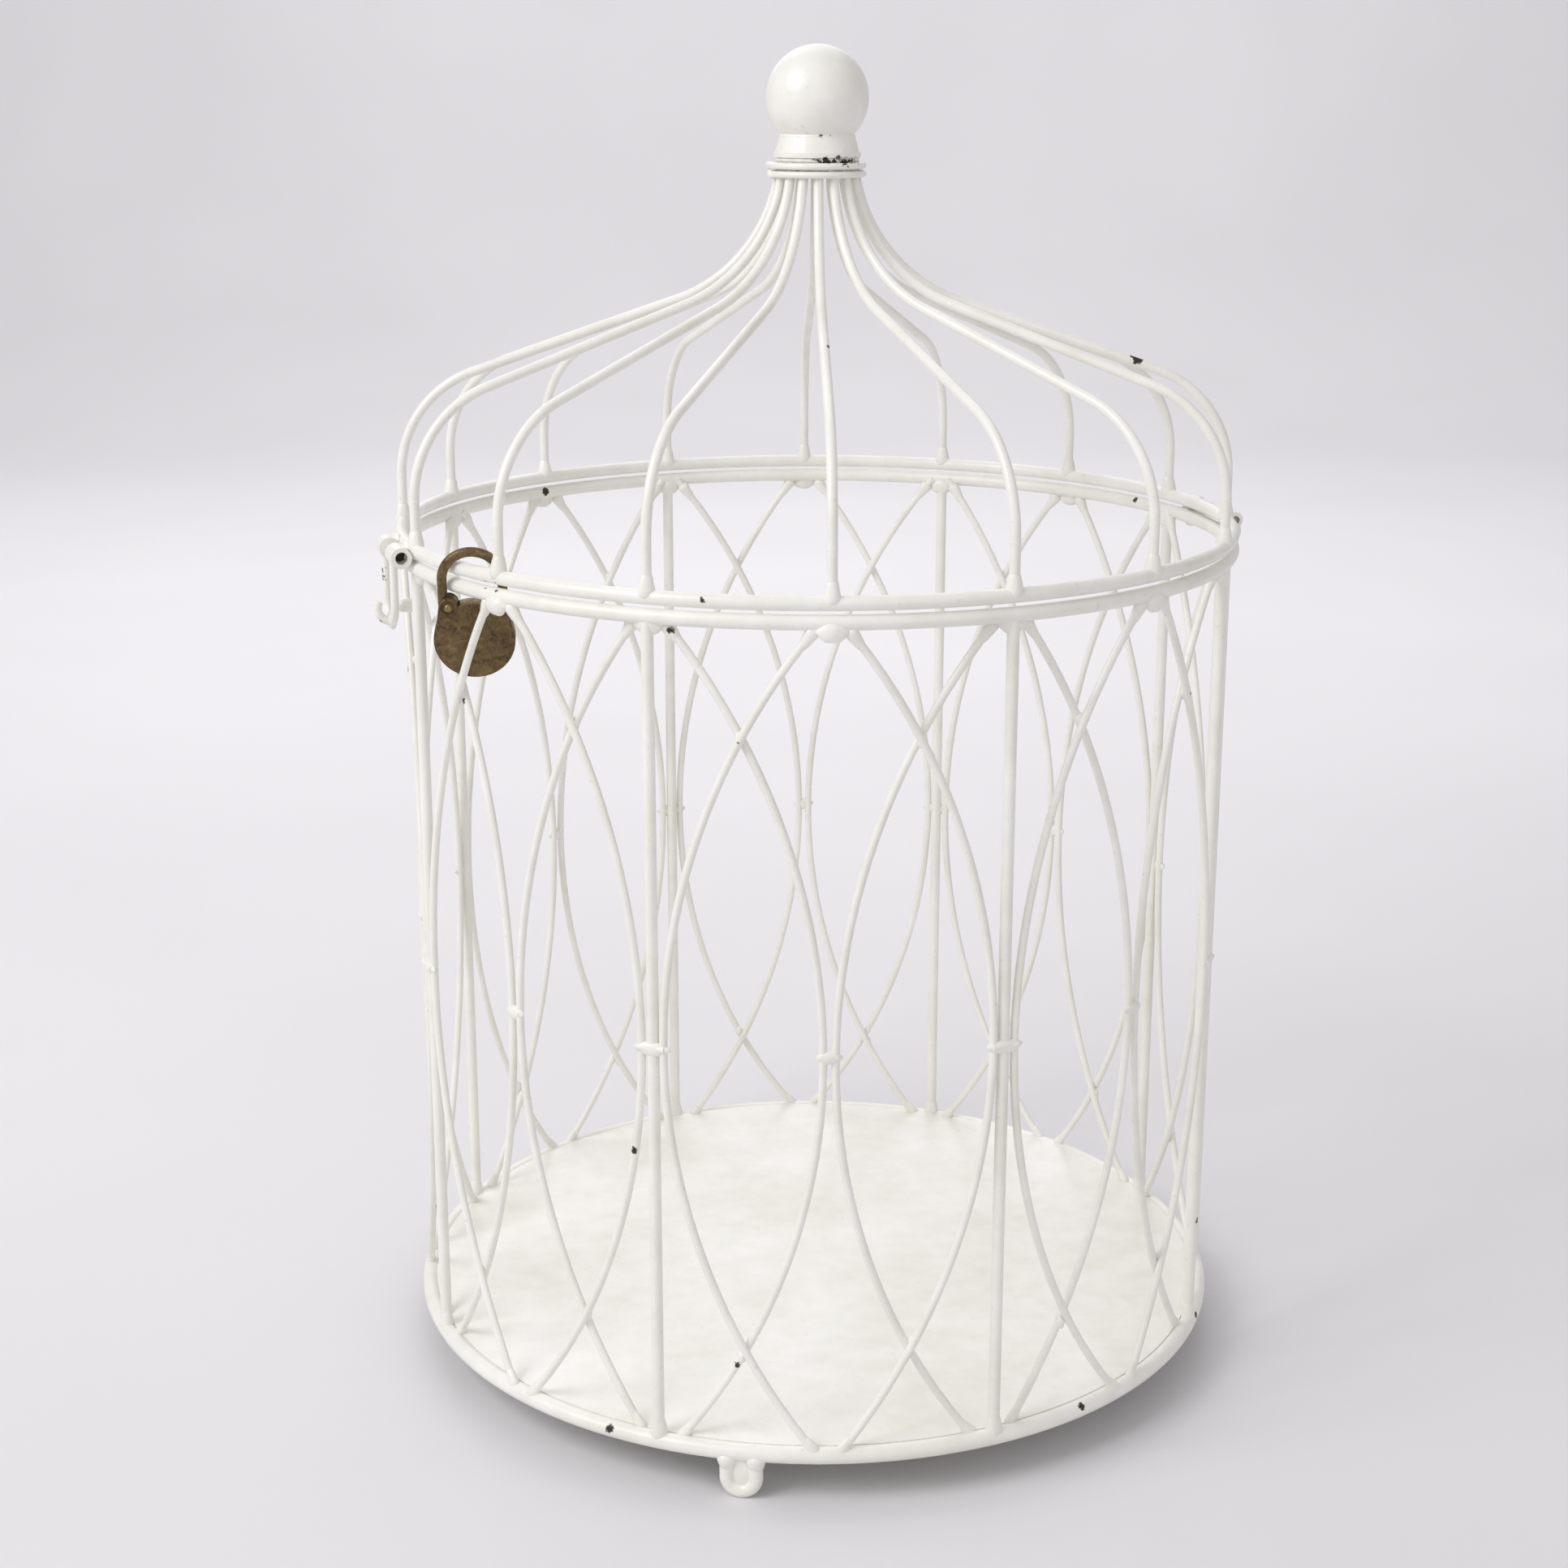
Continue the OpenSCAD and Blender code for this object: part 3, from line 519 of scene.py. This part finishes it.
# feet
footLow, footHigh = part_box("feet")
footLook = {"first": -22.5, "width": 8.4 * mm, "wire": 4.2 * mm, "webHeight": 9.5 * mm, "webDepth": 2.5 * mm}
footPlaces = [ringMatrix(footLook["first"] + 120 * k, cageRadius, 0) for k in range(3)]
lump = paintLump("foot web", footLook["width"] * 0.8, footLook["webHeight"], footLook["webDepth"])
footWebs = placedCopies(lump, [place @ Matrix.Translation((0, 0, 7.6 * mm)) for place in footPlaces], "footWebs")
finishPaint(footWebs, "cage", strength=0.6)
drop = flaredDrop("foot drop", 3.3 * mm, 2.2 * mm, 4.5 * mm)
turned = Matrix.Rotation(math.pi, 4, "X")
footWelds = placedCopies(drop, [place @ Matrix.Translation((side * footLook["width"] / 2, 0, 12.6 * mm)) @ turned
                                for place in footPlaces for side in (-1, 1)], "footWelds")
finishPaint(footWelds, "cage", strength=0.5)
print("feet made")

# crown: paint under the ball and the binding's twisted ends
capLow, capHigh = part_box("crown_cap")
ballLow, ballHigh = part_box("finial_ball")
bindLow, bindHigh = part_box("crown_binding")
crown = {"beadRadius": 9.9 * mm, "bead": 1.15 * mm, "fill": 11.1 * mm, "fillWire": 1.1 * mm, "endLength": 4.6 * mm, "endThick": 2.2 * mm, "endAngle": -99.0}
clearSelection()
bpy.ops.mesh.primitive_torus_add(major_segments=64, minor_segments=10, major_radius=crown["beadRadius"], minor_radius=crown["bead"],
                                 location=(0, 0, capHigh.z + 0.15 * mm))
neckBead = takeNew("neckBead")
bpy.ops.object.transform_apply(location=True, rotation=True, scale=True)
editPoints(neckBead, lambda co: co.z < capHigh.z)
bpy.ops.transform.resize(value=(1.045, 1.045, 1), center_override=(0, 0, capHigh.z))
leaveEdit()
finishPaint(neckBead, "lid", strength=0.45, paint=collarEnamelRubbedAndShaded)
# paint that fills the ring between the binding and the rim
clearSelection()
bpy.ops.mesh.primitive_torus_add(major_segments=64, minor_segments=10, major_radius=crown["fill"], minor_radius=crown["fillWire"],
                                 location=(0, 0, bindHigh.z + 0.55 * mm))
crownFill = takeNew("crownFill")
bpy.ops.object.transform_apply(location=True, rotation=True, scale=True)
editPoints(crownFill, lambda co: co.z > bindHigh.z + 0.55 * mm)
bpy.ops.transform.resize(value=(1.03, 1.03, 1), center_override=(0, 0, bindHigh.z))
leaveEdit()
finishPaint(crownFill, "lid", strength=0.5, paint=collarEnamelRubbedAndShaded)
bindRadius = bindHigh.x - 0.95 * mm
places = []
for turn, tilt in ((0.95 * mm, 12), (3.35 * mm, -9)):
    places.append(ringMatrix(crown["endAngle"] + tilt, bindRadius + 0.55 * mm, bindLow.z + turn) @ Matrix.Rotation(math.radians(tilt), 4, "Y"))
bindingEnds = placedCopies(paintLump("binding end", crown["endLength"], crown["endThick"], crown["endThick"]), places, "bindingEnds")
finishPaint(bindingEnds, "lid", strength=0.35, paint=collarEnamelRubbedAndShaded)
print("crown made")

# latch: fillets of paint on the barrels, the hasp and the knob
latch = {"angle": -83.5, "out": 4.49 * mm, "fillet": 3.0 * mm}
barrelLow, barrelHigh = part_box("latch_barrels")
latchZ = barrelHigh.z - 3.0 * mm
latchPlace = ringMatrix(latch["angle"], cageRadius + latch["out"], latchZ)
places = [latchPlace @ Matrix.Translation((t * mm, 2.6 * mm, up * mm)) for t, up in ((7.2, 2.3), (-7.0, 2.3), (6.6, -1.4), (-6.6, -1.4))]
latchFillets = placedCopies(paintLump("latch fillet", 7.2 * mm, latch["fillet"], latch["fillet"] * 0.9), places, "latchFillets")
finishPaint(latchFillets, "lid", strength=0.7)
places = [latchPlace @ Matrix.Translation((0, 0, -1.6 * mm)), latchPlace @ Matrix.Translation((-12 * mm, 0, -1.9 * mm)),
          latchPlace @ Matrix.Translation((-6 * mm, 0.1 * mm, -21.6 * mm))]
haspLumps = placedCopies(paintLump("hasp lump", 3.6 * mm, 5.0 * mm, 3.4 * mm), places, "haspLumps")
finishPaint(haspLumps, "hasp", strength=0.5)
print("latch made")

# hinge: fillets on the tube and on the ears
tubeLow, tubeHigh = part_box("hinge_tube")
earLow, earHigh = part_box("hinge_ears")
hingeX, hingeZ = (tubeLow.x + tubeHigh.x) / 2, (tubeLow.z + tubeHigh.z) / 2
hinge = {"tubeFillet": 9.0 * mm, "earFillet": 5.0 * mm, "thick": 2.8 * mm}
quarter = Matrix.Rotation(math.radians(90), 4, "Z")
places = [Matrix.Translation((hingeX - 1.9 * mm, t * mm, hingeZ + 1.9 * mm)) @ quarter for t in (-7.5, 0.5, 7.8)]
tubeFillets = placedCopies(paintLump("tube fillet", hinge["tubeFillet"], hinge["thick"] * 0.9, hinge["thick"] * 0.9), places, "tubeFillets")
finishPaint(tubeFillets, "lid", strength=0.6)
earMiddle = (tubeHigh.y + earHigh.y) / 2
places = [Matrix.Translation((cageRadius + 1.9 * mm, side * (earMiddle + 0.3 * mm), bodyRing["z"] - 2.2 * mm)) @ quarter for side in (-1, 1)]
earFillets = placedCopies(paintLump("ear fillet", hinge["earFillet"], hinge["thick"], hinge["thick"] * 1.3), places, "earFillets")
finishPaint(earFillets, "cage", strength=0.6)
print("hinge made")

# padlock: rolled edges on the case, a collar round the rivet
joints = {joint["name"]: joint for joint in frame["joints"]}
rivetAt = Vector(joints["shackle_pivot"]["pos_m"])
faceAxis = Vector(joints["shackle_pivot"]["axis"]).normalized()
padlock = {"thick": 4.2 * mm, "edge": 0.42 * mm, "collar": 2.15 * mm, "collarWire": 0.42 * mm}
faceTurn = faceAxis.to_track_quat("Z", "Y").to_matrix().to_4x4()
clearSelection()
caseCopy = nodes["padlock_case"].copy()
caseCopy.data = nodes["padlock_case"].data.copy()
caseCopy.parent = None
for key in list(caseCopy.keys()):
    del caseCopy[key]
bpy.context.scene.collection.objects.link(caseCopy)
bpy.context.view_layer.objects.active = caseCopy
padlockCase = takeNew("padlockCase")
editPoints(padlockCase, lambda co: True)
bpy.ops.mesh.remove_doubles(threshold=0.00002)
bpy.ops.mesh.dissolve_limited(angle_limit=math.radians(1.5))
leaveEdit()
applyModifier(padlockCase, "BEVEL", width=padlock["edge"], segments=3, limit_method="ANGLE", angle_limit=math.radians(50), use_clamp_overlap=True)
useOnly(padlockCase)
bpy.ops.object.shade_smooth_by_angle(angle=math.radians(35))
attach(padlockCase, "padlock")
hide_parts("padlock_case")
clearSelection()
bpy.ops.mesh.primitive_torus_add(major_segments=36, minor_segments=10, major_radius=padlock["collar"], minor_radius=padlock["collarWire"])
collar = takeNew("rivetCollar")
editPoints(collar, lambda co: co.xy.length < padlock["collar"])
bpy.ops.transform.translate(value=(0, 0, -0.16 * mm))
leaveEdit()
places = [Matrix.Translation(rivetAt + faceAxis * side * (padlock["thick"] / 2)) @ faceTurn for side in (1, -1)]
rivetCollars = placedCopies(collar, places, "rivetCollars")
smoothAll(rivetCollars)
rivetCollars.data.materials.append(bronzePlate)
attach(rivetCollars, "padlock")
print("padlock made")

# camera, light and floor
view = {"azimuth": -12.45, "away": 760 * mm, "aside": -9.7 * mm, "height": 373 * mm, "down": 15.67, "lens": 57.92}
a = math.radians(view["azimuth"])
cameraData = bpy.data.cameras.new("camera")
cameraData.lens = view["lens"]
cameraData.sensor_width = 36.0
cameraData.clip_start = 0.01
camera = bpy.data.objects.new("camera", cameraData)
bpy.context.scene.collection.objects.link(camera)
camera.location = (view["away"] * math.sin(a) + view["aside"] * math.cos(a),
                   -view["away"] * math.cos(a) + view["aside"] * math.sin(a), view["height"] + floorTop)
camera.rotation_euler = (math.radians(90 - view["down"]), 0, a)
bpy.context.scene.camera = camera


def softLight(name, angle, distance, height, size, power, colour, aim=Vector((0, 0, 0.2))):
    data = bpy.data.lights.new(name, "AREA")
    data.shape = "RECTANGLE"
    data.size = size
    data.size_y = size
    data.energy = power
    data.color = colour
    light = bpy.data.objects.new(name, data)
    bpy.context.scene.collection.objects.link(light)
    light.location = outward(angle, distance, height)
    light.rotation_euler = (aim - light.location).to_track_quat("-Z", "Y").to_euler()


softLight("window", -70, 1.3, 1.25, 0.9, 13.5, (1.0, 1.0, 1.0))
softLight("front fill", 10, 1.8, 0.9, 1.6, 3.4, (1.0, 0.985, 0.97))
softLight("back light", 175, 1.5, 1.3, 1.4, 5.5, (1.0, 0.99, 1.0))
softLight("backdrop wash", 167.5, 1.1, 1.7, 1.6, 14.0, (1.0, 1.0, 1.0), outward(167.5, 2.7, 0.1))

# one seamless sheet: the floor, a soft bend behind the box, and a plain backdrop
backdrop = {"wide": 9.0, "front": 3.5, "back": 1.9, "bend": 0.8, "tall": 3.5}
clearSelection()
bpy.ops.mesh.primitive_plane_add(size=1.0, location=(0, 0, 0))
stageFloor = takeNew("stageFloor")
editPoints(stageFloor, lambda co: True)
bpy.ops.transform.resize(value=(backdrop["wide"], backdrop["front"] + backdrop["back"], 1), center_override=(0, 0, 0))
bpy.ops.transform.translate(value=(0, (backdrop["back"] - backdrop["front"]) / 2, 0))
leaveEdit()
editPoints(stageFloor, lambda co: co.y > 0)
for turn in range(12):          # the far edge is drawn up step by step round the bend
    rise = math.radians(90 / 12 * (turn + 0.5))
    step = backdrop["bend"] * math.radians(90 / 12)
    bpy.ops.mesh.extrude_region_move(TRANSFORM_OT_translate={"value": (0, step * math.cos(rise), step * math.sin(rise))})
bpy.ops.mesh.extrude_region_move(TRANSFORM_OT_translate={"value": (0, 0, backdrop["tall"])})
leaveEdit()
smoothAll(stageFloor)
stageFloor.rotation_euler = (0, 0, a)
material, tree, shader, place = newMaterial("pale floor")
cloudy = addNode(tree, "ShaderNodeTexNoise", {"Scale": 3.0, "Detail": 2.0}, {"Vector": place}).outputs["Fac"]
tree.links.new(rampNode(tree, cloudy, [(0.3, "#DFDEE0"), (0.7, "#E3E2E4")]), shader.inputs["Base Color"])
shader.inputs["Roughness"].default_value = 0.7
stageFloor.data.materials.append(material)

world = bpy.data.worlds.new("room")
bpy.context.scene.world = world
world.use_nodes = True
world.node_tree.nodes["Background"].inputs[0].default_value = linearColour("#ECEAEC")
world.node_tree.nodes["Background"].inputs[1].default_value = 0.66
bpy.context.scene.view_settings.view_transform = "Standard"
print("camera, light and floor made")
